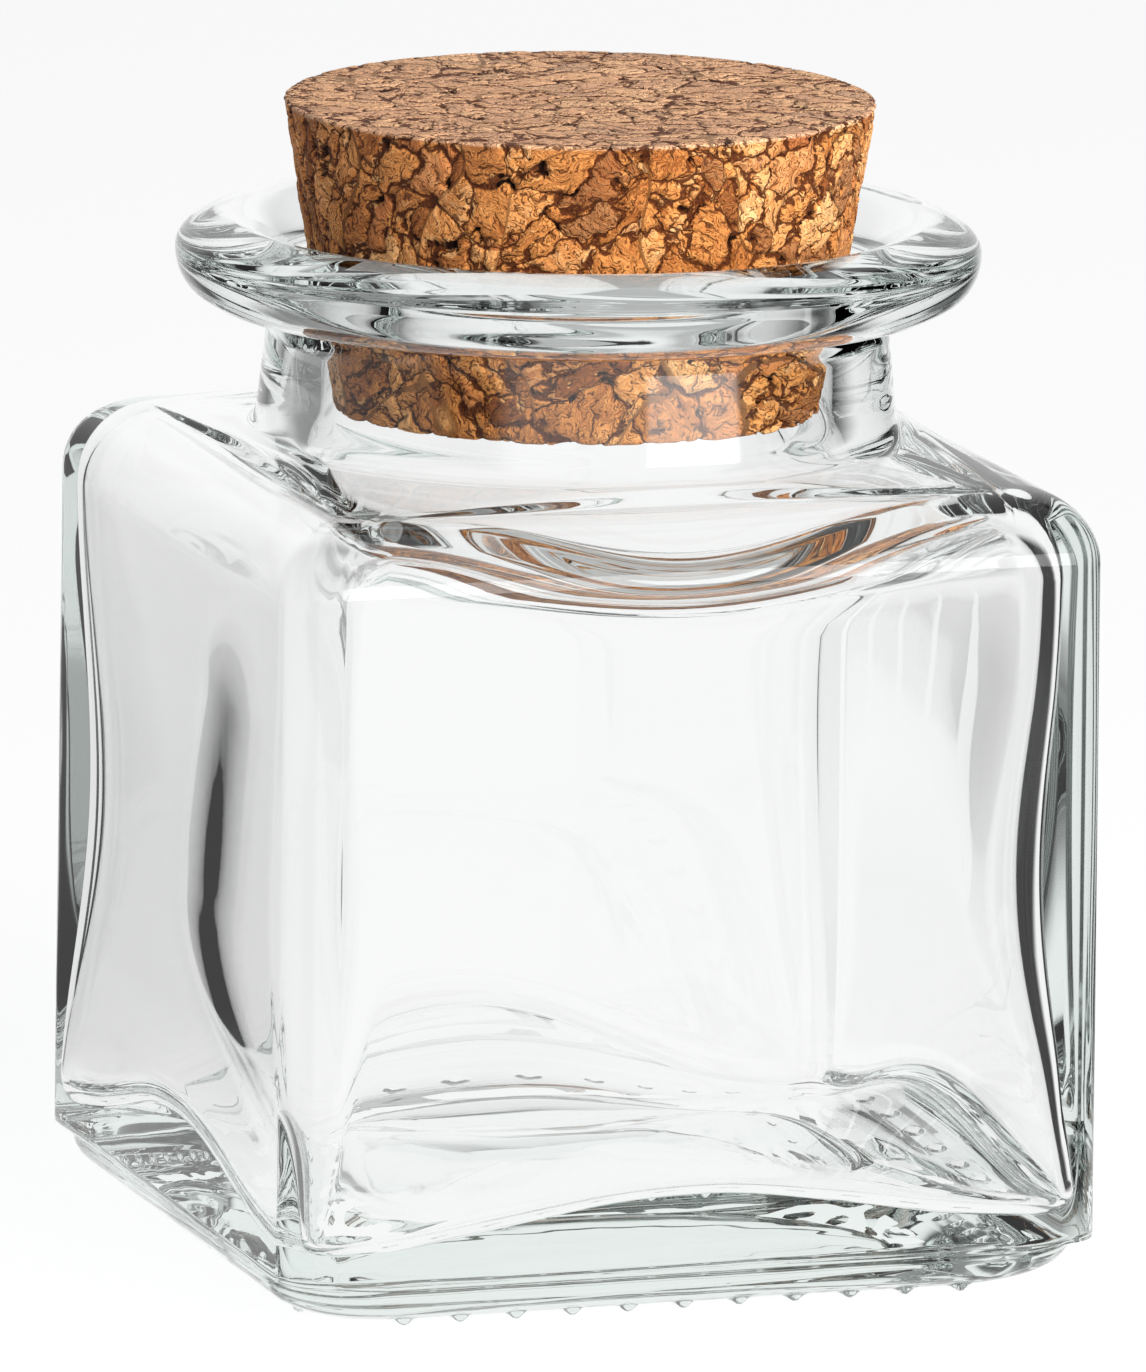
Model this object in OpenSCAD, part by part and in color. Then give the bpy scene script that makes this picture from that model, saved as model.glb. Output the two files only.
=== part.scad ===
// Square glass jar with a round neck, a flared rim and a tapered cork stopper.
// Millimetres, Z up. The origin is the middle of the foot, on the surface that the jar stands on.
// The front face looks along -Y.

/* [Body] */
// Width across two opposite faces, measured at the mould seam
body_w = 60; // [56:0.5:66]
// Height of the flat part of the shoulder
body_h = 56.8; // [52:0.2:64]
// Plan radius of the four upright edges
corner_r = 3.5; // [3:0.1:5]
// Radius of the edge between a face and the shoulder
shoulder_r = 5; // [4:0.1:6]
// How much each face leans in between the seam and the shoulder
draft = 0.2; // [0:0.05:0.6]

/* [Heel] */
// Height of the mould seam, above which the faces stand straight
heel_h = 3.7; // [3:0.1:5]
// Ledge at the seam, where the base mould is smaller than the body mould
heel_ledge = 0.3; // [0.15:0.05:0.6]
// How far the heel curves in under the jar
heel_in = 6.6; // [5:0.1:8]
// Plan radius of the heel's corners at the seam
heel_corner_r = 7.6; // [6:0.1:10]
// Height of the hollow under the foot
foot_hollow = 1.4; // [0.8:0.1:2]
// Number of grip bosses under the heel of each face
boss_count = 11; // [5:2:11]
// Diameter of a boss at its lower end
boss_d = 0.9; // [0.7:0.1:1.2]

/* [Inside] */
// Thickness of the faces just above the floor
wall_low = 2.1; // [1.9:0.1:2.6]
// Thickness of the faces at the middle of the body's height
wall_mid = 3.6; // [3:0.1:4.2]
// Thickness of the faces just under the shoulder
wall_high = 2.6; // [2.2:0.1:3]
// Plan radius of the cavity's upright corners at the middle of the body's height
cavity_corner_r = 5.4; // [4:0.1:6.4]
// Height of the cavity's floor in its four corners
floor_low = 5.4; // [5:0.1:6.4]
// Extra height of the floor's edge at the middle of the back, left, front and right face
floor_rise = [6.6, 4.6, 3, 4.2]; // [2:0.1:7]
// How far the ceiling's edge sags at the middle of the back, left, front and right face
ceiling_sag = [1.2, 0.3, 2.2, 0.8]; // [0:0.1:2.6]
// Thickness of the shoulder
shoulder_t = 2.6; // [2.2:0.1:3.4]

/* [Neck and rim] */
// Outer diameter of the neck under the rim
neck_d = 43.6; // [43:0.1:45]
// Outer diameter of the neck at its foot
neck_foot_d = 45.2; // [44.6:0.1:46]
// Height at which the neck leaves the shoulder
neck_z = 58.2; // [57.8:0.1:58.6]
// Outer diameter of the flared rim
rim_d = 56.9; // [54:0.1:58]
// Height of the rim's widest line
rim_z = 70.8; // [69.6:0.1:72]
// Thickness of the rim above its widest line
rim_up = 2.3; // [1.8:0.1:2.8]
// Thickness of the rim below its widest line
rim_down = 3.6; // [3:0.1:4]
// Diameter of the straight bore under the cork's seat
bore_d = 36.8; // [36.4:0.1:37]

/* [Stopper] */
// Diameter of the cork's upper face
cork_top_d = 41.9; // [41.2:0.1:42.6]
// Diameter of the cork's lower face
cork_bottom_d = 35.2; // [34.6:0.1:35.8]
// Height of the cork
cork_h = 21.8; // [20:0.1:24]
// Height of the cork's lower face when the stopper is seated
cork_z = 59.7; // [59.2:0.1:60.4]
// Width of the broken edge round both of the cork's faces
cork_edge = 0.4; // [0.2:0.1:0.8]

/* [Hidden] */
half_w = body_w / 2;
corner_steps = 4;
side_steps = 6;
arc_steps = 5;
round_fn = 96;
wall_steps = 6;
heel_foot_r = heel_corner_r - 2.4;
shoulder_corner_r = 2.4;
seat_gap = 0.06;
cork_taper = (cork_top_d - cork_bottom_d) / 2 / cork_h;
neck_fillet = 1.6;
foot_r = neck_foot_d / 2 + neck_fillet;
rim_inner_w = 4.3;
rim_outer_w = 3.2;
rim_top_z = rim_z + rim_up;
rim_low_z = rim_z - rim_down;
meet_z = cork_z + (bore_d / 2 - seat_gap - cork_bottom_d / 2) / cork_taper;
seat_z = max(rim_z - 4.1, meet_z + 0.4);
dish_r = bore_r(seat_z) + 2.3;
dish_z = rim_z - 1.4;
cavity_top = body_h - shoulder_t;
cavity_r_low = 1.6;
cavity_r_high = 2.2;
floor_round = 1.8;
floor_crown = 2.6;
floor_z = floor_low + floor_round;
floor_edge = cavity_half(floor_z) - floor_round;
side_dent = 0.35;
ceiling_round = 2.4;
ceiling_z = cavity_top - ceiling_round;
ceiling_edge = cavity_half(ceiling_z) - ceiling_round;
sweep_z = cork_z + 0.6;
boss_pitch = 4.1;
boss_path = half_w - heel_ledge - 3.4;
boss_h = 1.1;
crest_r = rim_d / 2 - rim_inner_w;
foot_hollow_r = half_w - heel_ledge - heel_in - 2.6;

// Radius of the tapered seat at height z, a hair wider than the cork
function bore_r(z) = cork_bottom_d / 2 + seat_gap + (z - cork_z) * cork_taper;

// Steps from 0 to 1 that start and end gently
function ease(t) = (1 - cos(180 * t)) / 2;

// Blend from a to b
function mix(a, b, t) = a + (b - a) * t;

// A level ring: a square of half-width half with corners of plan radius r at height z. The middle
// of each side is drawn in by dent and lifted by its own entry of lifts.
function ring(half, r, z, dent = 0, lifts = [0, 0, 0, 0]) = [
    for (side = [0:3]) each concat(
        [for (i = [0:corner_steps])
            let (a = 90 * i / corner_steps)
            turned([half - r + r * cos(a), half - r + r * sin(a), z], side)],
        [for (i = [1:side_steps - 1])
            let (t = i / side_steps, swell = pow(sin(180 * t), 2))
            turned([(half - r) * (1 - 2 * t), half - dent * swell, z + lifts[side] * swell], side)]
    )
];

// Point p turned by a number of quarter turns about Z
function turned(p, quarters) = let (a = 90 * quarters)
    [p.x * cos(a) - p.y * sin(a), p.x * sin(a) + p.y * cos(a), p.z];

// Closed solid through a stack of rings that have the same number of points, capped with fans
module loft(rings) {
    n = len(rings[0]);
    last = len(rings) - 1;
    hubs = [[0, 0, rings[0][0].z], [0, 0, rings[last][0].z]];
    low_hub = (last + 1) * n;
    high_hub = low_hub + 1;
    points = concat([for (r = rings) each r], hubs);
    low_cap = [for (i = [0:n - 1]) [i, (i + 1) % n, low_hub]];
    high_cap = [for (i = [0:n - 1]) [last * n + (i + 1) % n, last * n + i, high_hub]];
    walls = [
        for (k = [0:last - 1], i = [0:n - 1])
            let (j = (i + 1) % n, a = k * n + i, b = k * n + j)
            each [[a, a + n, b + n], [a, b + n, b]]
    ];
    polyhedron(points, concat(low_cap, walls, high_cap), convexity = 6);
}

// Outside of the body: the rounded heel, the ledge at the seam, the leaning faces, the rounded
// shoulder edge, and the shoulder that turns from a square into the round foot of the neck
function outside_rings() = concat(
    [for (i = [arc_steps:-1:0])
        let (a = 90 * i / arc_steps, inset = heel_ledge + heel_in * (1 - cos(a)))
        ring(half_w - inset, mix(heel_corner_r, heel_foot_r, sin(a)), heel_h * (1 - sin(a)))],
    [ring(half_w, corner_r, heel_h)],
    [for (i = [0:arc_steps])
        let (a = 90 * i / arc_steps, inset = draft + shoulder_r * (1 - cos(a)))
        ring(half_w - inset, mix(corner_r, shoulder_corner_r, 1 - cos(a)), body_h - shoulder_r * (1 - sin(a)))],
    [for (i = [1:arc_steps])
        let (t = i / arc_steps, edge = half_w - draft - shoulder_r, end = foot_r - 1)
        ring(mix(edge, end, t), mix(shoulder_corner_r, end * 0.99, ease(t)), mix(body_h, neck_z, ease(t)))]
);

// 0 at the cavity's floor and ceiling, 1 half way up
function belly(z) = pow(sin(180 * (z - floor_low) / (cavity_top - floor_low)), 2);

// Half-width of the cavity at height z: the faces are thickest half way up
function cavity_half(z) = let (t = (z - floor_low) / (cavity_top - floor_low))
    half_w - mix(mix(wall_low, wall_high, t), wall_mid, belly(z));

// Plan radius of the cavity's corners at height z: they are widest half way up
function cavity_r(z) = let (t = (z - floor_low) / (cavity_top - floor_low))
    mix(mix(cavity_r_low, cavity_r_high, t), cavity_corner_r, belly(z));

// Inside of the body: the floor that rises to the middle of each face, the drawn-in faces, the
// ceiling that sags a little, and the sweep from the ceiling up into the bore
function inside_rings() = concat(
    [for (i = [0:5])
        let (t = mix(0.06, 0.94, i / 5), half = floor_edge * t)
        ring(half, half * mix(0.99, 0.12, ease(t)), floor_low + floor_crown * (1 - t * t), 0,
            floor_rise * (i == 0 ? 0 : pow(t, 2.5)))],
    [for (i = [0:3])
        let (a = 30 * i)
        ring(floor_edge + floor_round * sin(a), mix(0.9, cavity_r(floor_z), sin(a)),
            floor_z - floor_round * cos(a), 0, floor_rise)],
    [for (i = [1:wall_steps - 1])
        let (t = i / wall_steps, z = mix(floor_z, ceiling_z, t))
        ring(cavity_half(z), cavity_r(z), z, side_dent * sin(180 * t),
            floor_rise * pow(1 - t, 5) - ceiling_sag * pow(t, 5))],
    [for (i = [0:3])
        let (a = 30 * i)
        ring(ceiling_edge + ceiling_round * cos(a), mix(1.2, cavity_r(ceiling_z), cos(a)),
            ceiling_z + ceiling_round * sin(a), 0, -ceiling_sag)],
    [for (i = [0:arc_steps])
        let (a = 84 - 84 * i / arc_steps, start = bore_d / 2 - 0.2, sweep = ceiling_edge - 0.8 - start,
            half = start + sweep * (1 - cos(a)), share = pow(ease((half - start) / sweep), 1.2))
        ring(half, mix(half * 0.99, 1.4, share), sweep_z - (sweep_z - cavity_top) * sin(a), 0,
            ceiling_sag * -share)]
);

// Turned profile of the neck and rim, solid to the axis
module neck_and_rim() {
    rotate_extrude($fn = round_fn) polygon(concat(
        [[0, body_h - 2], [foot_r - 0.4, body_h - 2], [foot_r, neck_z - 0.25]],
        [for (i = [1:5])
            let (a = 90 * i / 5)
            [foot_r - neck_fillet * sin(a), neck_z - 0.25 + neck_fillet * (1 - cos(a))]],
        [[neck_d / 2, rim_low_z - 0.5], [neck_d / 2 + 0.5, rim_low_z]],
        [for (i = [0:8])
            let (a = -90 + 90 * i / 8)
            [rim_d / 2 - rim_outer_w * (1 - cos(a)), rim_z + rim_down * sin(a)]],
        [for (i = [1:8])
            let (a = 90 * i / 8)
            [rim_d / 2 - rim_inner_w * (1 - cos(a)), rim_z + rim_up * sin(a)]],
        [[0, rim_top_z]]
    ));
}

// Turned cut of the mouth: the dished lip, the tapered seat and the straight bore
module mouth_cut() {
    rotate_extrude($fn = round_fn) polygon(concat(
        [[0, cavity_top - 1], [bore_d / 2, cavity_top - 1], [bore_d / 2, meet_z], [bore_r(seat_z), seat_z]],
        [for (i = [1:5])
            let (a = 90 * i / 5)
            [dish_r - (dish_r - bore_r(seat_z)) * cos(a), seat_z + (dish_z - seat_z) * sin(a)]],
        [for (i = [1:6])
            let (t = i / 6)
            [mix(dish_r, crest_r, t), mix(dish_z, rim_top_z, 1 - pow(1 - t, 1.7))]],
        [[crest_r, rim_top_z + 1], [0, rim_top_z + 1]]
    ));
}

// Shallow domed hollow under the foot
module foot_cut() {
    rotate_extrude($fn = round_fn) polygon(concat(
        [[0, -1], [foot_hollow_r, -1]],
        [for (i = [0:6])
            let (t = i / 6)
            [foot_hollow_r * cos(90 * t), foot_hollow * sin(90 * t)]]
    ));
}

// Small studs under the heel that the jar stands on beside the foot
module grip_bosses() {
    for (side = [0:3], i = [0:boss_count - 1])
        rotate([0, 0, 90 * side])
        translate([boss_path, (i - (boss_count - 1) / 2) * boss_pitch, 0])
            cylinder(h = boss_h, d1 = boss_d, d2 = boss_d + 0.6, $fn = 16);
}

// The glass: one blown piece
module glass_jar() {
    color([0.86, 0.93, 0.90, 0.55])
        difference() {
            union() {
                loft(outside_rings());
                neck_and_rim();
                grip_bosses();
            }
            loft(inside_rings());
            mouth_cut();
            foot_cut();
        }
}

// The stopper: granules pressed and bonded into one tapered plug
module cork_stopper() {
    color([0.76, 0.50, 0.29])
        translate([0, 0, cork_z])
        rotate_extrude($fn = round_fn) polygon([
            [0, 0],
            [cork_bottom_d / 2 - cork_edge, 0],
            [cork_bottom_d / 2 + cork_edge * cork_taper, cork_edge],
            [cork_top_d / 2 - cork_edge * cork_taper, cork_h - cork_edge],
            [cork_top_d / 2 - cork_edge, cork_h],
            [0, cork_h]
        ]);
}

glass_jar();
cork_stopper();
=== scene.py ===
import math

import bmesh
import bpy
from mathutils import Matrix, Quaternion, Vector, noise


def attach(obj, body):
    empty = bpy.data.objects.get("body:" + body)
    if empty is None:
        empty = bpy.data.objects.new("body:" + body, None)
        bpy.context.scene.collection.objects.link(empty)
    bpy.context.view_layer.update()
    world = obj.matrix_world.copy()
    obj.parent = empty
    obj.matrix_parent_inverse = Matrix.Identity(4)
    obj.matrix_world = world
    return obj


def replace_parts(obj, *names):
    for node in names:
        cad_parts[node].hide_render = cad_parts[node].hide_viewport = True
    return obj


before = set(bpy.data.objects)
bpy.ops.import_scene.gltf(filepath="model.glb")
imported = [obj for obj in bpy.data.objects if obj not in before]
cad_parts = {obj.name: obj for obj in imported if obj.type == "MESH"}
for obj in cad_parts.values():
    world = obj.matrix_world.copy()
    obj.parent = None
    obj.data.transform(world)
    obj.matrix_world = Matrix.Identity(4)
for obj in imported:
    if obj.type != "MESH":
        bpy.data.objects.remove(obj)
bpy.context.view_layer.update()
print("frame loaded")

mm = 0.001


# camera: long lens, level with the neck and looking a little down on the jar

cameraFacts = {
    "azimuth": -18.28,      # degrees, the left face shows a little
    "place": (1306.7, 297.3),  # distance from the axis and height, mm
    "pitch": 11.17,         # degrees below level
    "roll": 0.70,           # degrees
    "lens": 493.56,         # on a 36 mm sensor along the frame's long side
}


def addCamera(facts):
    turn = math.radians(-facts["azimuth"])
    pitch = math.radians(facts["pitch"])
    away, height = (value * mm for value in facts["place"])
    camera = bpy.data.objects.new("camera", bpy.data.cameras.new("camera"))
    bpy.context.scene.collection.objects.link(camera)
    camera.data.sensor_width = 36
    camera.data.lens = facts["lens"]
    camera.data.clip_start, camera.data.clip_end = 0.05, 20
    camera.location = (-math.sin(turn) * away, -math.cos(turn) * away, height)
    ahead = Vector((math.sin(turn) * math.cos(pitch), math.cos(turn) * math.cos(pitch), -math.sin(pitch)))
    rolled = Quaternion((0, 0, 1), math.radians(facts["roll"]))
    camera.rotation_mode = "QUATERNION"
    camera.rotation_quaternion = ahead.to_track_quat("-Z", "Y") @ rolled
    bpy.context.scene.camera = camera


def letLightThrough(mirrored, crossed):
    # light that runs to and fro in a thick glass corner more often than this is lost, and leaves it dark
    cycles = bpy.context.scene.cycles
    cycles.glossy_bounces, cycles.transmission_bounces, cycles.max_bounces = mirrored, crossed, crossed


addCamera(cameraFacts)
letLightThrough(10, 30)
print("camera set")


# nodes: one small class for shader and geometry maths

class Value:
    def __init__(self, maker, socket):
        self.maker, self.socket = maker, socket

    def math(self, operation, *others):
        return self.maker.add("ShaderNodeMath", {"operation": operation}, {0: self, **dict(enumerate(others, 1))})

    def __add__(self, other):
        return self.math("ADD", other)

    def __sub__(self, other):
        return self.math("SUBTRACT", other)

    def __mul__(self, other):
        return self.math("MULTIPLY", other)

    def __truediv__(self, other):
        return self.math("DIVIDE", other)

    def __pow__(self, other):
        return self.math("POWER", other)

    def __rsub__(self, other):
        return self.maker.add("ShaderNodeMath", {"operation": "SUBTRACT"}, {0: other, 1: self})

    __radd__, __rmul__ = __add__, __mul__

    def least(self, other):
        return self.math("MINIMUM", other)

    def most(self, other):
        return self.math("MAXIMUM", other)

    def step(self, low, high):
        return self.maker.add("ShaderNodeMapRange", {"interpolation_type": "SMOOTHSTEP"},
                              {"Value": self, "From Min": low, "From Max": high})


class Maker:
    def __init__(self, tree):
        self.tree = tree
        tree.nodes.clear()

    def add(self, kind, settings=None, sockets=None, out=0):
        node = self.tree.nodes.new(kind)
        for name, value in (settings or {}).items():
            if name == "stops":
                fillRamp(node.color_ramp, value)
            else:
                setattr(node, name, value)
        for name, value in (sockets or {}).items():
            self.join(value, node.inputs[name])
        return node if out is None or not node.outputs else Value(self, node.outputs[out])

    def join(self, value, socket):
        if isinstance(value, Value):
            self.tree.links.new(value.socket, socket)
        else:
            socket.default_value = value

    def vector(self, operation, *values):
        return self.add("ShaderNodeVectorMath", {"operation": operation}, dict(enumerate(values)),
                        out="Value" if operation in ("DOT_PRODUCT", "LENGTH") else 0)

    def scaled(self, value, scale):
        return self.add("ShaderNodeVectorMath", {"operation": "SCALE"}, {0: value, "Scale": scale})

    def mixed(self, share, first, second):
        return self.add("ShaderNodeMix", {"data_type": "VECTOR"}, {"Factor": share, 4: first, 5: second}, out=1)

    def blend(self, share, first, second):
        return self.add("ShaderNodeMix", {"data_type": "RGBA"}, {"Factor": share, 6: first, 7: second}, out=2)


def fillRamp(ramp, stops):
    while len(ramp.elements) < len(stops):
        ramp.elements.new(0.5)
    for element, (place, colour) in zip(ramp.elements, stops):
        element.position, element.color = place, (*colour, 1)


def newMaterial(name):
    material = bpy.data.materials.new(name)
    material.use_nodes = True
    return material, Maker(material.node_tree)


# the glass: one skin from the middle of the foot, up outside, over the rim and down inside

jarFacts = {
    "half": 30.0, "cornerR": 3.5, "bodyTop": 56.8, "shoulderR": 5.0, "draft": 0.2,
    "seamZ": 3.7, "ledge": 0.3, "heelIn": 6.6, "heelCornerR": 7.6, "footHollow": 1.4,
    "wallLow": 2.1, "wallMid": 3.6, "wallHigh": 2.6, "cavityR": (1.0, 5.4, 4.4),
    "floorLow": 5.4, "floorFillet": 1.8, "floorCrown": 2.6, "floorLift": (4.2, 6.6, 4.6, 3.0),
    "cavityTop": 54.2, "ceilingFillet": 3.6, "neckR": 21.8, "neckFootR": 22.6, "neckZ": 58.2,
    "rimR": 28.45, "rimZ": 70.8, "rimUp": 2.3, "rimDown": 3.6, "rimIn": 4.3, "rimOut": 3.2,
    "corkR": 17.6, "corkZ": 59.7, "corkTaper": 0.1537, "gap": 0.06, "boreR": 18.4, "ceilingDroop": (0.8, 1.2, 0.3, 2.7),
    "turns": 288,
    # how the blown hollow departs half way up from an even one: wall thickness of the right, back, left and
    # front face, plan radius of the corners from back right round to front right
    "wallOf": (3.6, 4.4, 2.4, 3.0), "cornerOf": (3.0, 8.5, 4.7, 5.4),
    "swell": 0.44, "swellWidth": 17.0,  # the side walls are thicker behind a line that bends backwards half way up
    "bosses": 11, "bossPitch": 4.1, "bossIn": 3.7, "bossR": 0.75, "bossHigh": 0.48,  # grip bosses under each face
}


def ease(t):
    return (1 - math.cos(math.pi * t)) / 2


def mix(a, b, t):
    return a + (b - a) * t


def quarter(steps, first=0):
    return [math.pi / 2 * i / steps for i in range(first, steps + 1)]


def outsideProfile(f):
    rings = [(f["half"] - f["ledge"] - f["heelIn"] - 2.6) * math.sin(a) for a in quarter(9, 1)]
    footR = rings[-1]
    profile = [(r, r, f["footHollow"] * math.sqrt(max(0, 1 - (r / footR) ** 2)), 0, 0) for r in rings]
    lowR = f["heelCornerR"] - 2.4
    foot = f["half"] - f["ledge"] - f["heelIn"]
    profile += [(mix(footR, foot, t), mix(footR, lowR, ease(t)), 0, 0, 0) for t in (0.33, 0.66)]
    for a in reversed(quarter(12)):
        inset = f["ledge"] + f["heelIn"] * (1 - math.cos(a))
        profile.append((f["half"] - inset, mix(f["heelCornerR"], lowR, math.sin(a)),
                        f["seamZ"] * (1 - math.sin(a)), 0, 0))
    profile.append((f["half"] - 0.06, f["cornerR"] + 0.4, f["seamZ"], 0, 0))
    profile.append((f["half"], f["cornerR"], f["seamZ"] + 0.08, 0, 0))
    low, high = f["seamZ"] + 0.6, f["bodyTop"] - f["shoulderR"]
    profile += [(f["half"] - f["draft"] * i / 20, f["cornerR"], mix(low, high, i / 20), 0, 0) for i in range(20)]
    for a in quarter(14):
        inset = f["draft"] + f["shoulderR"] * (1 - math.cos(a))
        profile.append((f["half"] - inset, mix(f["cornerR"], 2.4, 1 - math.cos(a)),
                        f["bodyTop"] - f["shoulderR"] * (1 - math.sin(a)), 0, 0))
    edge, end = f["half"] - f["draft"] - f["shoulderR"], f["neckFootR"] + 1.6
    for i in range(1, 9):
        t = i / 8
        profile.append((mix(edge, end, t), mix(2.4, end * 0.995, ease(t)), mix(f["bodyTop"], f["neckZ"] - 0.25, ease(t)), 0, 0))
    for a in quarter(8, 1):
        r = end - 1.6 * math.sin(a)
        profile.append((r, r, f["neckZ"] - 0.25 + 1.6 * (1 - math.cos(a)), 0, 0))
    low, high = f["neckZ"] + 1.35, f["rimZ"] - f["rimDown"] - 0.6
    profile += [(r, r, mix(low, high, t), 0, 0) for t in (0.2, 0.4, 0.6, 0.8, 1) for r in [mix(f["neckFootR"], f["neckR"], t)]]
    for a in quarter(4, 1):
        r = f["neckR"] + 0.6 * (1 - math.cos(a))
        profile.append((r, r, high + 0.6 * math.sin(a), 0, 0))
    return profile


def rimProfile(f):
    profile = []
    for a in [-math.pi / 2 + a for a in quarter(14)]:
        r = f["rimR"] - f["rimOut"] * (1 - math.cos(a))
        profile.append((r, r, f["rimZ"] + f["rimDown"] * math.sin(a), 0, 0))
    for a in quarter(14, 1):
        r = f["rimR"] - f["rimIn"] * (1 - math.cos(a))
        profile.append((r, r, f["rimZ"] + f["rimUp"] * math.sin(a), 0, 0))
    return profile


def boreR(f, z):
    return max(f["boreR"], f["corkR"] + f["gap"] + (z - f["corkZ"]) * f["corkTaper"])


def mouthProfile(f):
    crest, top = f["rimR"] - f["rimIn"], f["rimZ"] + f["rimUp"]
    seatZ = f["rimZ"] - 4.1
    seatR = boreR(f, seatZ)
    dishR, dishZ = seatR + 2.3, f["rimZ"] - 1.4
    profile = []
    for i in range(1, 9):
        t = 1 - i / 9
        r = mix(dishR, crest, t)
        profile.append((r, r, mix(dishZ, top, 1 - (1 - t) ** 1.7), 0, 0))
    for a in reversed(quarter(7)):
        r = dishR - (dishR - seatR) * math.cos(a)
        profile.append((r, r, seatZ + (dishZ - seatZ) * math.sin(a), 0, 0))
    throatZ = f["corkZ"] + 0.6
    for i in range(1, 13):
        z = mix(seatZ, throatZ, i / 12)
        profile.append((boreR(f, z), boreR(f, z), z, 0, 0))
    return profile


def cavityAt(f, z):
    # half width and corner radius of the hollow: the blown walls are thickest half way up
    t = min(max((z - f["floorLow"]) / (f["cavityTop"] - f["floorLow"]), 0), 1)
    belly = bellyAt(f, z)
    wall = mix(mix(f["wallLow"], f["wallHigh"], t), f["wallMid"], belly)
    lowR, midR, highR = f["cavityR"]
    return f["half"] - wall, tuple(mix(mix(lowR, highR, t), cornerR, belly) for cornerR in f["cornerOf"])


def bellyAt(f, z):
    t = min(max((z - f["floorLow"]) / (f["cavityTop"] - f["floorLow"]), 0), 1)
    return math.sin(math.pi * t) ** 2


def swellLine(z):
    # how far back the line lies, mm from the middle of a side wall, behind which the wall is thicker
    return -7.5 - 0.30 * (z - 26) if z > 26 else -7.5 - 0.11 * (26 - z) ** 2


def blowUneven(shape, f, firstRing):
    # shifts the walls of the hollow, and gives the two side walls their swell
    ringNo = shape.verts.layers.int["ring"]
    for vert in shape.verts:
        if vert[ringNo] < firstRing:
            continue
        share = bellyAt(f, vert.co.z)
        base = f["half"] - f["wallMid"]
        sides = (0 if vert.co.x > 0 else 2, 1 if vert.co.y > 0 else 3)
        reach = [(f["wallMid"] - f["wallOf"][side]) * share for side in sides]
        over = (vert.co.y - swellLine(vert.co.z)) / f["swellWidth"] + 0.5
        reach[0] += f["swell"] * min(share * 2, 1) * (0.5 - ease(min(max(over, 0), 1)))
        vert.co.x *= 1 + reach[0] / base
        vert.co.y *= 1 + reach[1] / base


def insideProfile(f):
    top, fillet, turnIn = f["cavityTop"], f["floorFillet"], f["ceilingFillet"]
    profile = []
    wide, wideR = cavityAt(f, top - turnIn)
    edge, edgeR = wide - turnIn, 3.0
    start, sweep = f["corkZ"] + 0.6, edge - 0.8 - f["boreR"]
    for a in quarter(18, 1):
        half = f["boreR"] + sweep * (1 - math.cos(a))
        share = ease((half - f["boreR"]) / sweep) ** 1.2
        profile.append((half, mix(half, edgeR, share), start - (start - top) * math.sin(a), 0, -share))
    for a in quarter(9, 1):
        half = edge + turnIn * math.sin(a)
        cornerR = tuple(mix(edgeR, r, math.sin(a)) for r in wideR)
        profile.append((half, cornerR, top - turnIn * (1 - math.cos(a)), 0, -1))
    low, high = f["floorLow"] + fillet, top - turnIn
    for i in range(1, 44):
        t = 1 - i / 44
        z = mix(low, high, t)
        half, cornerR = cavityAt(f, z)
        profile.append((half, cornerR, z, 0, (1 - t) ** 5 - t ** 5))
    half, cornerR = cavityAt(f, low)
    edge, edgeR = half - fillet, 0.9
    for a in reversed(quarter(9)):
        profile.append((edge + fillet * math.sin(a), tuple(mix(edgeR, r, math.sin(a)) for r in cornerR),
                        low - fillet * math.cos(a), 0, 1))
    for i in range(1, 30):
        t = 1 - i / 30
        roundness = mix(1, edgeR / edge, ease(t) ** 0.5)
        profile.append((edge * t, edge * t * roundness, f["floorLow"] + f["floorCrown"] * (1 - t * t), 0, t ** 2.5))
    return profile


def onPlan(half, cornerR, turn):
    # where a spun point lies on a rounded square: half of the points gather at the corners
    if isinstance(cornerR, tuple):
        cornerR = cornerR[int(turn / (math.pi / 2)) % 4]
    cornerR = min(cornerR, half)
    flat, arc = half - cornerR, cornerR * math.pi / 2
    side = round(turn / (math.pi / 2))
    u = turn / (math.pi / 2) - side  # from -0.5 to 0.5, 0 at the middle of a face
    straight = 0.5 * flat / (2 * flat + arc)
    if abs(u) <= straight:
        point = Vector((half, u / straight * flat if straight else 0, 0))
    else:
        over = (abs(u) - straight) / (0.5 - straight) * math.pi / 4
        point = Vector((flat + cornerR * math.sin(math.pi / 2 - over), 0, 0))
        point.y = math.copysign(flat + cornerR * math.sin(over), u)
    return point, math.cos(math.pi / 2 * min(abs(point.y) / half, 1)) ** 2, side


def wavesOf(profile, f, inside):
    # height and length in mm of the gentle ripples that each ring carries
    waves = []
    for half, cornerR, z, dent, lift in profile:
        if not inside:
            waves.append((0.03, 3.0) if z < f["seamZ"] + 0.05 else (0.012 if z < f["neckZ"] else 0, 10.0))
        elif z < f["floorLow"] + f["floorCrown"]:
            waves.append((0.11, 8.0))
        else:
            waves.append((0.05 if z < f["cavityTop"] + 1 else 0, 20.0))
    return waves


def ruffle(shape, waves):
    # moves the skin a little along its normals, so that flat faces mirror and bend light like blown glass
    ringNo = shape.verts.layers.int["ring"]
    shape.normal_update()
    moves = []
    for vert in shape.verts:
        k = vert[ringNo] - 1
        if 0 <= k < len(waves):
            height, length = waves[k]
            moves.append((vert, vert.normal * height * noise.noise(vert.co / length)))
    for vert, move in moves:
        vert.co += move


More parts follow.
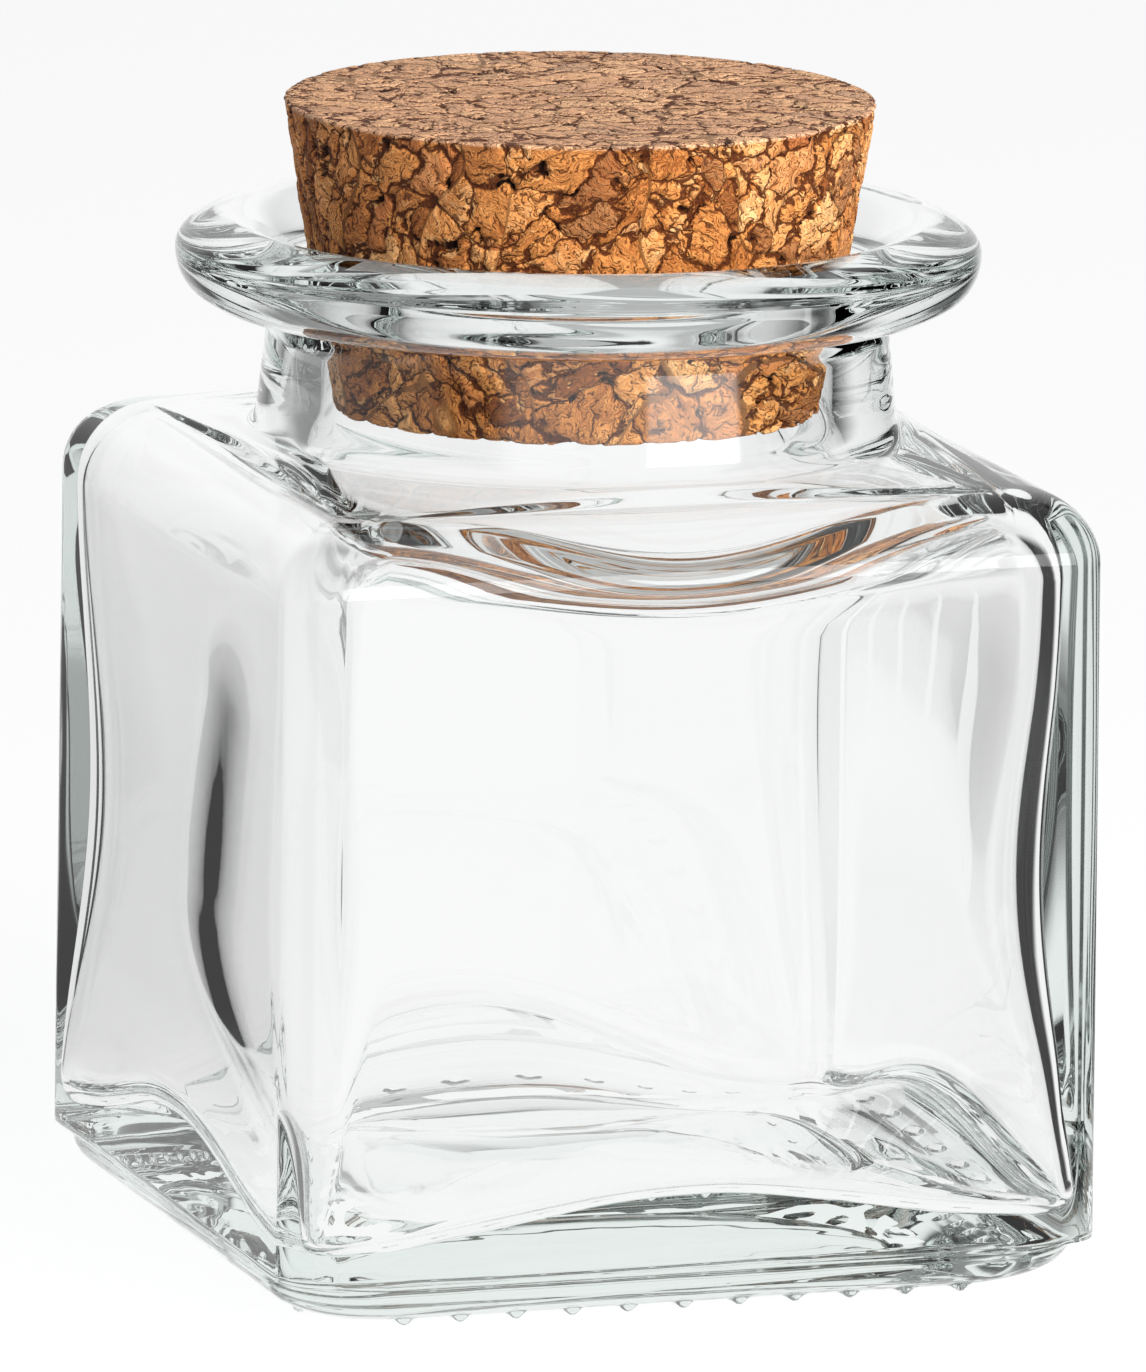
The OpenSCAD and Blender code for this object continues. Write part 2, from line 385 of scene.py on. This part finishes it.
def spinSkin(profile, turns, lifts=(0, 0, 0, 0), droops=(0, 0, 0, 0)):
    # profile rows: half width, plan corner radius, height, how far the faces are drawn in,
    # share of the rise at the middle of each face, or of the droop where it is negative
    shape = bmesh.new()
    ringNo = shape.verts.layers.int.new("ring")
    first = shape.verts.new((0, 0, profile[0][2]))
    chain = [first] + [shape.verts.new((row[0], 0, row[2])) for row in profile]
    last = shape.verts.new((0, 0, profile[-1][2]))
    chain.append(last)
    for i, vert in enumerate(chain):
        vert[ringNo] = i
    edges = [shape.edges.new(pair) for pair in zip(chain, chain[1:])]
    bmesh.ops.spin(shape, geom=chain + edges, axis=(0, 0, 1), cent=(0, 0, 0), steps=24,
                   angle=math.tau, use_merge=True)
    bmesh.ops.remove_doubles(shape, verts=[v for v in shape.verts if v.co.xy.length < 1e-6], dist=1e-5)
    rungs = [edge for edge in shape.edges if edge.verts[0][ringNo] == edge.verts[1][ringNo]]
    bmesh.ops.subdivide_edges(shape, edges=rungs, cuts=turns // 24 - 1, use_grid_fill=True)
    for vert in shape.verts:
        k = vert[ringNo] - 1
        if 0 <= k < len(profile):
            half, cornerR, z, dent, lift = profile[k]
            turn = math.atan2(vert.co.y, vert.co.x) % math.tau
            point, swell, side = onPlan(half, cornerR, turn)
            point.x -= dent * swell
            point.rotate(Matrix.Rotation(side * math.pi / 2, 3, "Z"))
            vert.co = (point.x, point.y, z + lift * (lifts if lift > 0 else droops)[side % 4] * swell)
    bmesh.ops.recalc_face_normals(shape, faces=shape.faces)
    return shape


def raiseBosses(shape, f):
    # small domes under the heel, on a patch of the skin that is divided finely enough to carry them
    shape.normal_update()
    a = math.acos(1 - (f["bossIn"] - f["ledge"]) / f["heelIn"])
    path, height = f["half"] - f["bossIn"], f["seamZ"] * (1 - math.sin(a))
    reach = f["bossPitch"] * (f["bosses"] - 1) / 2 + 2 * f["bossR"]
    patch = []
    for face in shape.faces:
        x, y, z = face.calc_center_median()
        across, along = sorted((abs(x), abs(y)), reverse=True)
        if z < 1.6 and face.normal.z < 0 and abs(across - path) < 1.5 and along < reach:
            patch.append(face)
    edges = list({edge for face in patch for edge in face.edges})
    bmesh.ops.subdivide_edges(shape, edges=edges, cuts=4, use_grid_fill=True)
    shape.normal_update()
    moves = []
    for vert in shape.verts:
        x, y, z = vert.co
        across, along = (x, y) if abs(x) > abs(y) else (y, x)
        if z > 1.6 or abs(abs(across) - path) > 1.5 or abs(along) > reach:
            continue
        nearest = round(along / f["bossPitch"]) * f["bossPitch"]
        away = Vector((abs(across) - path, along - nearest, z - height)).length / f["bossR"]
        if away < 1 and vert.normal.z < 0:
            moves.append((vert, vert.normal * f["bossHigh"] * math.cos(math.pi / 2 * away) ** 1.3))
    for vert, move in moves:
        vert.co += move


def finishMesh(name, shape):
    mesh = bpy.data.meshes.new(name)
    for face in shape.faces:
        face.smooth = True
    shape.to_mesh(mesh)
    shape.free()
    piece = bpy.data.objects.new(name, mesh)
    bpy.context.scene.collection.objects.link(piece)
    return piece


def glassMaterial():
    material, maker = newMaterial("clearGlass")
    glass = maker.add("ShaderNodeBsdfPrincipled", {}, {
        "Base Color": (1, 1, 1, 1), "Roughness": 0.0, "IOR": 1.52, "Transmission Weight": 1.0})
    clear = maker.add("ShaderNodeBsdfTransparent", {}, {"Color": (0.93, 0.95, 0.94, 1)})
    shadowRay = maker.add("ShaderNodeLightPath", {}, {}, out="Is Shadow Ray")
    surface = maker.add("ShaderNodeMixShader", {}, {0: shadowRay, 1: glass, 2: clear})
    depth = maker.add("ShaderNodeVolumeAbsorption", {}, {"Color": (0.40, 0.62, 0.54, 1), "Density": 5.5})
    maker.add("ShaderNodeOutputMaterial", {}, {"Surface": surface, "Volume": depth})
    return material


def buildJar(f):
    outer, inner = outsideProfile(f) + rimProfile(f) + mouthProfile(f), insideProfile(f)
    shape = spinSkin(outer + inner, f["turns"], f["floorLift"], f["ceilingDroop"])
    blowUneven(shape, f, len(outer) + 1)
    ruffle(shape, wavesOf(outer, f, False) + wavesOf(inner, f, True))
    raiseBosses(shape, f)
    bmesh.ops.scale(shape, vec=(mm, mm, mm), verts=shape.verts)
    piece = finishMesh("jar_glass", shape)
    piece.data.materials.append(glassMaterial())
    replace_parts(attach(piece, "jar"), "glass_jar")
    return piece


jar = buildJar(jarFacts)
print("glass made:", len(jar.data.polygons), "faces")


# the stopper: a dense turned plug whose granules are cut into it by the same pattern that colours it

corkFacts = {
    "topR": 20.95, "lowR": 17.6, "high": 21.8, "z": 59.7, "edge": 0.35,
    "turns": 480, "sideRings": 84, "topRings": 58, "lowRings": 30,
}


def corkPattern(maker, place):
    # place in mm; gives the pieces of the pattern that both the relief and the colours are made of
    def cloud(vector, scale, detail=2.0, rough=0.5, out=0):
        return maker.add("ShaderNodeTexNoise", {}, {"Vector": vector, "Scale": scale, "Detail": detail,
                                                    "Roughness": rough}, out=out)

    def wander(scale, amount, detail=2.0):
        drift = cloud(place, scale, detail, out="Color")
        return maker.scaled(maker.vector("SUBTRACT", drift, (0.5, 0.5, 0.5)), amount)

    def mosaic(vector, scale):
        cells = maker.add("ShaderNodeTexVoronoi", {}, {"Vector": vector, "Scale": scale}, out=None)
        rim = maker.add("ShaderNodeTexVoronoi", {"feature": "DISTANCE_TO_EDGE"}, {"Vector": vector, "Scale": scale})
        tint, middle = (Value(maker, cells.outputs[name]) for name in ("Color", "Position"))
        return tint, rim / scale, maker.vector("SUBTRACT", vector, middle)

    bent = maker.vector("ADD", maker.vector("ADD", place, wander(0.2, 6.0)), wander(1.1, 1.1, 3.0))
    lying = maker.vector("MULTIPLY", maker.add("ShaderNodeVectorRotate", {"rotation_type": "EULER_XYZ"}, {
        "Vector": bent, "Rotation": (0.4, 0.3, 0.5)}), (0.55, 1.0, 1.35))
    standing = maker.vector("MULTIPLY", maker.add("ShaderNodeVectorRotate", {"rotation_type": "EULER_XYZ"}, {
        "Vector": bent, "Rotation": (0.2, 0.9, 2.1)}), (1.3, 1.0, 0.6))
    pick = cloud(place, 0.13, 0.0).step(0.49, 0.51)
    lyingTint, lyingEdge, lyingReach = mosaic(lying, 0.34)
    standingTint, standingEdge, standingReach = mosaic(standing, 0.34)
    tint = maker.mixed(pick, lyingTint, standingTint)
    edge = lyingEdge * (1 - pick) + standingEdge * pick
    crumbTint, crumbEdge, crumbReach = mosaic(bent, 0.95)
    inCrumbs = (edge + cloud(place, 0.42) * 2.0).step(1.16, 1.08)
    heading = maker.vector("NORMALIZE", maker.vector("SUBTRACT", tint, (0.5, 0.5, 0.5)))
    swayed = maker.vector("ADD", place, wander(0.7, 2.2, 3.0))
    across = maker.vector("DOT_PRODUCT", swayed, heading)
    lines = (across * 1.1).math("PINGPONG", 0.5).step(0.12, 0.02)
    layer = lines * cloud(place, 0.9).step(0.45, 0.56) * (1 - inCrumbs)
    reach = maker.mixed(inCrumbs, maker.mixed(pick, lyingReach, standingReach), crumbReach)
    tilt = (maker.vector("DOT_PRODUCT", reach, heading) * 0.3 + 0.5).least(1.0).most(0.0)
    drawn = maker.vector("SUBTRACT", swayed, maker.scaled(heading, across * 0.72))
    fibre = maker.vector("ADD", drawn, maker.scaled(heading, across * 3.4))
    grain = cloud(fibre, 0.75, 3.0, 0.62)
    curl = (cloud(fibre, 0.32, 1.5) * 15.0).math("PINGPONG", 0.5).step(0.15, 0.03) * (1 - inCrumbs * 0.5)
    wide = cloud(place, 0.7, 3.0).step(0.36, 0.66)
    chipCrack = edge.step(wide * 0.18 + 0.07, wide * 0.1)
    crumbCrack = crumbEdge.step(wide * 0.1 + 0.05, wide * 0.05) * inCrumbs
    dome = edge.step(0.0, 0.5) * (1 - inCrumbs) + crumbEdge.step(0.0, 0.25) * inCrumbs
    hollow = cloud(place, 0.45, 3.0, 0.65).step(0.57, 0.62) * (1 - crumbEdge.step(0.1, 0.4)) * inCrumbs
    return {"tint": maker.mixed(inCrumbs, tint, crumbTint), "inCrumbs": inCrumbs, "layer": layer, "grain": grain,
            "hollow": hollow, "tilt": tilt, "curl": curl, "crack": chipCrack.most(crumbCrack), "dome": dome,
            "fine": cloud(place, 4.5, 3.0, 0.65), "patch": cloud(place, 0.25, 2.0)}


def corkMaterial():
    material, maker = newMaterial("pressedCork")
    place = maker.scaled(maker.add("ShaderNodeAttribute", {"attribute_name": "place"}, {}, out="Vector"), 1000.0)
    parts = corkPattern(maker, place)
    height = maker.add("ShaderNodeSeparateXYZ", {}, {0: place}, out="Z")
    onTop = height.step(81.1, 81.4)
    split = maker.add("ShaderNodeSeparateXYZ", {}, {0: parts["tint"]}, out=None)
    red, green, blue = (Value(maker, split.outputs[i]) for i in range(3))
    level = red * 0.46 + parts["grain"] * 0.78 + parts["fine"] * 0.3 - 0.20
    tone = maker.add("ShaderNodeValToRGB", {"stops": [
        (0.0, (0.12, 0.027, 0.005)), (0.3, (0.42, 0.132, 0.029)),
        (0.6, (0.73, 0.292, 0.080)), (1.0, (1.0, 0.60, 0.27))]}, {0: level})
    rosy = maker.blend(green.step(0.8, 0.95) * 0.45, tone, (0.46, 0.14, 0.05, 1))
    smoked = maker.blend(blue.step(0.86, 0.94) * 0.7, rosy, (0.20, 0.052, 0.014, 1))
    # the top face is lighter and pinker: partly the paler sanded cork, partly painted light falling on the top
    sandedAndLitTop = maker.blend(onTop * 0.5, smoked, (1.0, 0.66, 0.43, 1))
    thin = (parts["layer"] * 0.85).most(parts["curl"] * 0.8)
    lined = maker.blend(thin.most(parts["crack"] * 0.96), sandedAndLitTop, (0.085, 0.018, 0.004, 1))
    # the hollows are painted near black: painted shade in the pits, added to the relief that already sinks them
    paintedHollowShade = maker.blend(parts["hollow"], lined, (0.02, 0.004, 0.001, 1))
    specks = parts["fine"].step(0.62, 0.72) * parts["patch"].step(0.4, 0.6)
    speckled = maker.blend(specks * 0.6, paintedHollowShade, (0.10, 0.024, 0.005, 1))
    rise = (parts["grain"] * 0.2 + parts["fine"] * 0.16 + parts["dome"] * 0.1
            - parts["crack"] * 0.16 - parts["layer"] * 0.12 - parts["curl"] * 0.08)
    bumped = maker.add("ShaderNodeBump", {}, {"Strength": 1.0, "Distance": mm, "Height": rise}, out="Normal")
    skin = maker.add("ShaderNodeBsdfPrincipled", {}, {
        "Base Color": speckled, "Roughness": parts["grain"] * 0.3 + 0.55, "Normal": bumped,
        "Specular IOR Level": 0.3})
    maker.add("ShaderNodeOutputMaterial", {}, {"Surface": skin})
    return material


def cutRelief(piece, f):
    # sinks cracks, layers and hollows into the skin, never outwards
    tree = bpy.data.node_groups.new("corkRelief", "GeometryNodeTree")
    tree.interface.new_socket("Geometry", in_out="INPUT", socket_type="NodeSocketGeometry")
    tree.interface.new_socket("Geometry", in_out="OUTPUT", socket_type="NodeSocketGeometry")
    maker = Maker(tree)
    skin = maker.add("NodeGroupInput")
    place = maker.add("GeometryNodeInputPosition")
    normal = maker.add("GeometryNodeInputNormal")
    inMm = maker.scaled(place, 1000.0)
    parts = corkPattern(maker, inMm)
    height = maker.add("ShaderNodeSeparateXYZ", {}, {0: inMm}, out="Z")
    onTop = height.step(81.1, 81.4)
    lean = maker.add("ShaderNodeSeparateXYZ", {}, {0: parts["tint"]}, out="Z")
    sunk = (parts["crack"] * 0.12 + parts["layer"] * 0.07 + parts["hollow"] * 0.4 + (1 - parts["grain"]) * 0.12
            + (1 - parts["dome"]) * 0.1)
    depth = (sunk + lean * 0.07 + parts["tilt"] * 0.09) * (1 - onTop * 0.7)
    offset = maker.scaled(normal, depth * -mm)
    kept = maker.add("GeometryNodeStoreNamedAttribute", {"data_type": "FLOAT_VECTOR", "domain": "POINT"},
                     {"Geometry": skin, "Name": "place", "Value": place})
    moved = maker.add("GeometryNodeSetPosition", {}, {"Geometry": kept, "Offset": offset})
    maker.add("NodeGroupOutput", {}, {0: moved})
    piece.modifiers.new("relief", "NODES").node_group = tree


def buildStopper(f):
    top, low, e = f["topR"], f["lowR"], f["edge"]
    profile = [(low * i / f["lowRings"], 0) for i in range(1, f["lowRings"])]
    profile += [(low - e * (1 - math.sin(a)), e * (1 - math.cos(a))) for a in quarter(3)]
    for i in range(1, f["sideRings"]):
        t = i / f["sideRings"]
        profile.append((mix(low, top, t), mix(e, f["high"] - e, t)))
    profile += [(top - e * (1 - math.cos(a)), f["high"] - e * (1 - math.sin(a))) for a in quarter(3)]
    profile += [((top - e) * (1 - i / f["topRings"]), f["high"]) for i in range(1, f["topRings"])]
    shape = spinSkin([(r, r, f["z"] + z, 0, 0) for r, z in profile], f["turns"])
    bmesh.ops.scale(shape, vec=(mm, mm, mm), verts=shape.verts)
    piece = finishMesh("stopper_cork", shape)
    piece.data.materials.append(corkMaterial())
    cutRelief(piece, f)
    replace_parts(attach(piece, "stopper"), "cork_stopper")
    return piece


stopper = buildStopper(corkFacts)
print("stopper made:", len(stopper.data.polygons), "faces")


# the table, the surroundings and the lamps

studioFacts = {
    # degrees from straight behind where the room turns dark grey, then black, to the left, and black to the right
    "leftFlag": (6.0, 28.0), "leftWall": (96.0, 112.0), "rightFlag": (56.0, 80.0), "greyShare": 0.75,
    "frontSheet": (128.0, 140.0),  # and where the white front of the table starts, for light mirrored only once
    "rightOutside": (34.0, 52.0),  # the same to the right, for what the outside of the glass mirrors
    "tableFlags": (0.045, 0.10),  # distance from the jar at which the table turns black there, m
    "softbox": (136.0, 174.0, -0.04, 0.30),  # bearing and height that the white softbox spans
    "softboxLevel": 5.0,
    "fill": (0.38, 0.38, 0.40),
    "ceiling": (0.42, 0.75),  # the sine of the height where the dim ceiling starts and is full
    "backdrop": 0.97, "tableTop": 0.96, "darkest": 0.012,
}


def bearingOf(maker, way):
    parts = maker.add("ShaderNodeSeparateXYZ", {}, {0: way}, out=None)
    across, ahead, up = (Value(maker, parts.outputs[i]) for i in range(3))
    return across.math("ARCTAN2", ahead), up


def flagShade(maker, way, seen):
    # 1 where the room is black, which only light that the glass has mirrored shows
    bearing, up = bearingOf(maker, way)

    def past(name, side=1):
        start, full = (math.radians(value * side) for value in studioFacts[name])
        return bearing.step(start, full)

    left = (past("leftFlag", -1) * studioFacts["greyShare"]).most(past("leftWall", -1))
    right = past("rightFlag").most(past("rightOutside") * seen["outside"])
    sheet = past("frontSheet").most(past("frontSheet", -1)) * (1 - seen["twice"] * 0.5)
    room = left + right
    return room * seen["mirrored"] * (1 - sheet)


def seenBy(maker):
    path = maker.add("ShaderNodeLightPath", {}, {}, out=None)
    camera, through, mirror, times, crossed = (Value(maker, path.outputs[name]) for name in (
        "Is Camera Ray", "Is Transmission Ray", "Is Glossy Ray", "Glossy Depth", "Transmission Depth"))
    return {"camera": camera, "inGlass": through.most(mirror), "mirrored": times.step(0.4, 0.6),
            "twice": times.step(1.4, 1.6), "outside": crossed.step(0.6, 0.4)}


def buildTable():
    shape = bmesh.new()
    bmesh.ops.create_circle(shape, cap_ends=True, segments=96, radius=4.0)
    table = finishMesh("table", shape)
    material, maker = newMaterial("paleTable")
    place = maker.add("ShaderNodeTexCoord", {}, {}, out="Object")
    far = maker.vector("LENGTH", place).step(*studioFacts["tableFlags"])
    seen = seenBy(maker)
    inGlass = seen["inGlass"]
    shade = flagShade(maker, place, seen) * far * inGlass
    cloth = maker.add("ShaderNodeBsdfDiffuse", {}, {"Color": maker.blend(inGlass, (0.16, 0.16, 0.16, 1), (0, 0, 0, 1))})
    pale, dark = studioFacts["tableTop"], studioFacts["darkest"]
    bright = maker.blend(inGlass, (0.84, 0.84, 0.84, 1), (pale, pale, pale, 1))
    glow = maker.add("ShaderNodeEmission", {}, {"Color": maker.blend(shade, bright, (dark, dark, dark, 1)),
                                                "Strength": 1.0})
    surface = maker.add("ShaderNodeAddShader", {}, {0: cloth, 1: glow})
    maker.add("ShaderNodeOutputMaterial", {}, {"Surface": surface})
    table.data.materials.append(material)


def lightWorld():
    world = bpy.data.worlds.new("studio")
    bpy.context.scene.world = world
    world.use_nodes = True
    maker = Maker(world.node_tree)
    way = maker.add("ShaderNodeTexCoord", {}, {}, out="Generated")
    seen = seenBy(maker)
    bearing, up = bearingOf(maker, way)
    roof = up.step(*studioFacts["ceiling"])
    flags = flagShade(maker, way, seen) * up.step(0.85, 0.7)
    pale, dark = studioFacts["backdrop"], studioFacts["darkest"]
    tone = maker.blend(flags.most(roof * 0.15), (pale, pale, pale, 1), (dark, dark, dark, 1))
    left, right, low, high = studioFacts["softbox"]
    inBox = (bearing.step(math.radians(left), math.radians(left + 3))
             * bearing.step(math.radians(right), math.radians(right - 3))
             * up.step(low, low + 0.02) * up.step(high, high - 0.02) * seen["mirrored"] * seen["outside"])
    level = studioFacts["softboxLevel"]
    lit = maker.blend(inBox, tone, (level, level, level, 1))
    fill = maker.blend(seen["camera"], (*studioFacts["fill"], 1), (1, 1, 1, 1))
    glow = maker.add("ShaderNodeBackground", {}, {"Color": maker.blend(seen["inGlass"], fill, lit), "Strength": 1.0})
    maker.add("ShaderNodeOutputWorld", {}, {"Surface": glow})


def addLamp(name, place, aim, size, power):
    data = bpy.data.lights.new(name, "AREA")
    data.shape, data.size, data.size_y, data.energy = "RECTANGLE", size[0], size[1], power
    lamp = bpy.data.objects.new(name, data)
    bpy.context.scene.collection.objects.link(lamp)
    lamp.location = place
    lamp.rotation_mode = "QUATERNION"
    lamp.rotation_quaternion = (Vector(aim) - Vector(place)).to_track_quat("-Z", "Y")
    lamp.visible_glossy = lamp.visible_transmission = False


buildTable()
lightWorld()
addLamp("keyLamp", (0.335, -0.70, 0.42), (0, 0, 0.06), (0.54, 0.7), 14)
bpy.context.scene.view_settings.view_transform = "Standard"
print("studio set")
